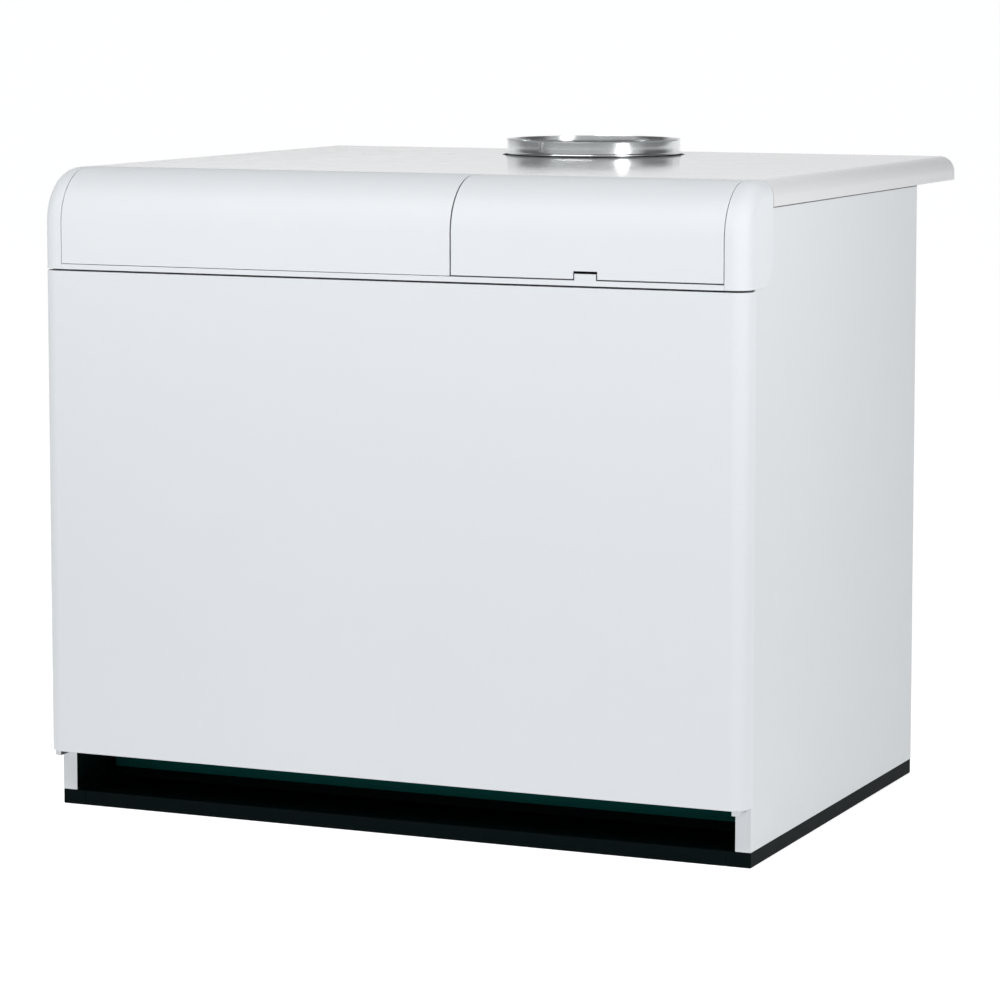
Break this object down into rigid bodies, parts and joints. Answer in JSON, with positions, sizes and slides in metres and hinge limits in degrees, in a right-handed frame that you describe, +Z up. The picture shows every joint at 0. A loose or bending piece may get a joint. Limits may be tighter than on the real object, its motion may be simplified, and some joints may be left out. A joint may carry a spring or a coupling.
{
  "type": "gas boiler with burner assembly",
  "caption": "Floor-standing cast-iron gas boiler in a white casing, with its atmospheric burner assembly, curved fascia with a control flap, lift-off door and top flue collar.",
  "frame": {"origin": "on the floor, under the middle of the whole object", "axes": "+Z up; -Y is the front, where the door is; +X is to the right of someone facing the door"},
  "size_m": [1.198, 1.034, 1.063],
  "materials": {
    "white_casing": "powder coat, fine texture, satin",
    "white_moulding": "moulded and painted, satin",
    "dark_plinth": "dark powder coat, satin",
    "galvanized": "galvanized sheet",
    "flue_metal": "rolled, satin, spot-welded seam",
    "cast_iron": "rough casting, black paint",
    "mild_steel": "plain steel",
    "burner_steel": "stainless, heat tinted",
    "brass": "turned",
    "insulation": "mineral fibre board",
    "panel_grey": "fine texture",
    "knob_black": "fine texture",
    "switch_black": "gloss",
    "lamp_red": "translucent red",
    "button_amber": "gloss",
    "dial_face": "printed dial",
    "dial_glass": "clear",
    "needle_red": "painted",
    "valve_casting": "die cast",
    "rubber": "matte",
    "ceramic": "glazed insulator"
  },
  "bodies": {
    "casing": {"base_side_rails": "dark_plinth", "base_cross_rails": "dark_plinth", "base_pan": "dark_plinth", "kick_plate": "dark_plinth", "support_rails": "dark_plinth", "side_panel_left": "white_casing", "side_panel_right": "white_casing", "rear_panel_lower": "galvanized", "rear_panel_left": "galvanized", "rear_panel_right": "galvanized", "casing_screws": "galvanized", "cable_glands": "knob_black", "top_cover": "white_casing", "stud_clips": "mild_steel", "door_support_lugs": "white_moulding", "fascia_cheek_left": "white_moulding", "fascia_cheek_right": "white_moulding", "fascia_panel": "white_moulding", "fascia_lip": "white_moulding", "flap_hinge_pins": "mild_steel", "front_cross_rail": "galvanized", "control_housing": "panel_grey", "dial_bodies": "dial_face", "dial_glasses": "dial_glass", "indicator_lamp": "lamp_red", "control_box": "galvanized", "section_left": "cast_iron", "section_right": "cast_iron", "middle_sections": "cast_iron", "nipples": "mild_steel", "tie_rods": "mild_steel", "tie_rod_nuts": "mild_steel", "insulation_slabs": "insulation", "smoke_box": "galvanized", "smoke_box_cover": "galvanized", "draught_hood": "galvanized", "flue_collar": "flue_metal", "flow_pipe": "mild_steel", "return_pipe": "mild_steel", "drain_cock_body": "brass", "burner_tubes": "burner_steel", "gas_manifold": "mild_steel", "injectors": "brass", "burner_front_plate": "galvanized", "pilot_burner": "burner_steel", "electrodes": "ceramic", "gas_valve": "valve_casting", "gas_supply_pipe": "mild_steel"},
    "door": {"front_door": "white_casing", "door_insulation": "insulation", "door_studs": "mild_steel"},
    "flap": {"control_flap": "white_moulding"},
    "thermostat": {"thermostat_knob": "knob_black"},
    "stage": {"stage_knob": "knob_black"},
    "switch": {"power_switch": "switch_black"},
    "reset": {"reset_button": "button_amber"},
    "thermometer_hand": {"thermometer_needle": "needle_red"},
    "pressure_hand": {"pressure_needle": "needle_red"},
    "drain_lever": {"drain_cock_lever": "brass"},
    "sight_cover": {"sight_hole_cover": "mild_steel"}
  },
  "joints": [
    {"name": "door_lift_off", "type": "slide", "parent": "casing", "child": "door", "axis": [0, -1, 0], "range_m": [0, 0.35]},
    {"name": "flap_hinge", "type": "hinge", "parent": "casing", "child": "flap", "pos_m": [0.3405, -0.41, 1.029], "axis": [-1, 0, 0], "range_deg": [0, 95]},
    {"name": "thermostat_turn", "type": "hinge", "parent": "casing", "child": "thermostat", "pos_m": [0.3405, -0.471, 0.9535], "axis": [0, 1, 0], "range_deg": [0, 270]},
    {"name": "stage_turn", "type": "hinge", "parent": "casing", "child": "stage", "pos_m": [0.40293, -0.471, 0.9535], "axis": [0, 1, 0], "range_deg": [0, 270]},
    {"name": "power_switch_rock", "type": "hinge", "parent": "casing", "child": "switch", "pos_m": [0.15321, -0.475, 0.9535], "axis": [-1, 0, 0], "range_deg": [0, 16]},
    {"name": "reset_press", "type": "slide", "parent": "casing", "child": "reset", "axis": [0, 1, 0], "range_m": [0, 0.003], "stiffness_N_per_m": 300, "springref_m": -0.002},
    {"name": "thermometer_sweep", "type": "hinge", "parent": "casing", "child": "thermometer_hand", "pos_m": [0.46536, -0.479, 0.9535], "axis": [0, 1, 0], "range_deg": [0, 270]},
    {"name": "pressure_sweep", "type": "hinge", "parent": "casing", "child": "pressure_hand", "pos_m": [0.52779, -0.479, 0.9535], "axis": [0, 1, 0], "range_deg": [0, 270]},
    {"name": "drain_lever_turn", "type": "hinge", "parent": "casing", "child": "drain_lever", "pos_m": [-0.432, 0.3415, 0.377], "axis": [0, 0, -1], "range_deg": [0, 90]},
    {"name": "sight_cover_swing", "type": "hinge", "parent": "casing", "child": "sight_cover", "pos_m": [0.192, -0.3478, 0.261], "axis": [0, 1, 0], "range_deg": [0, 85]}
  ]
}
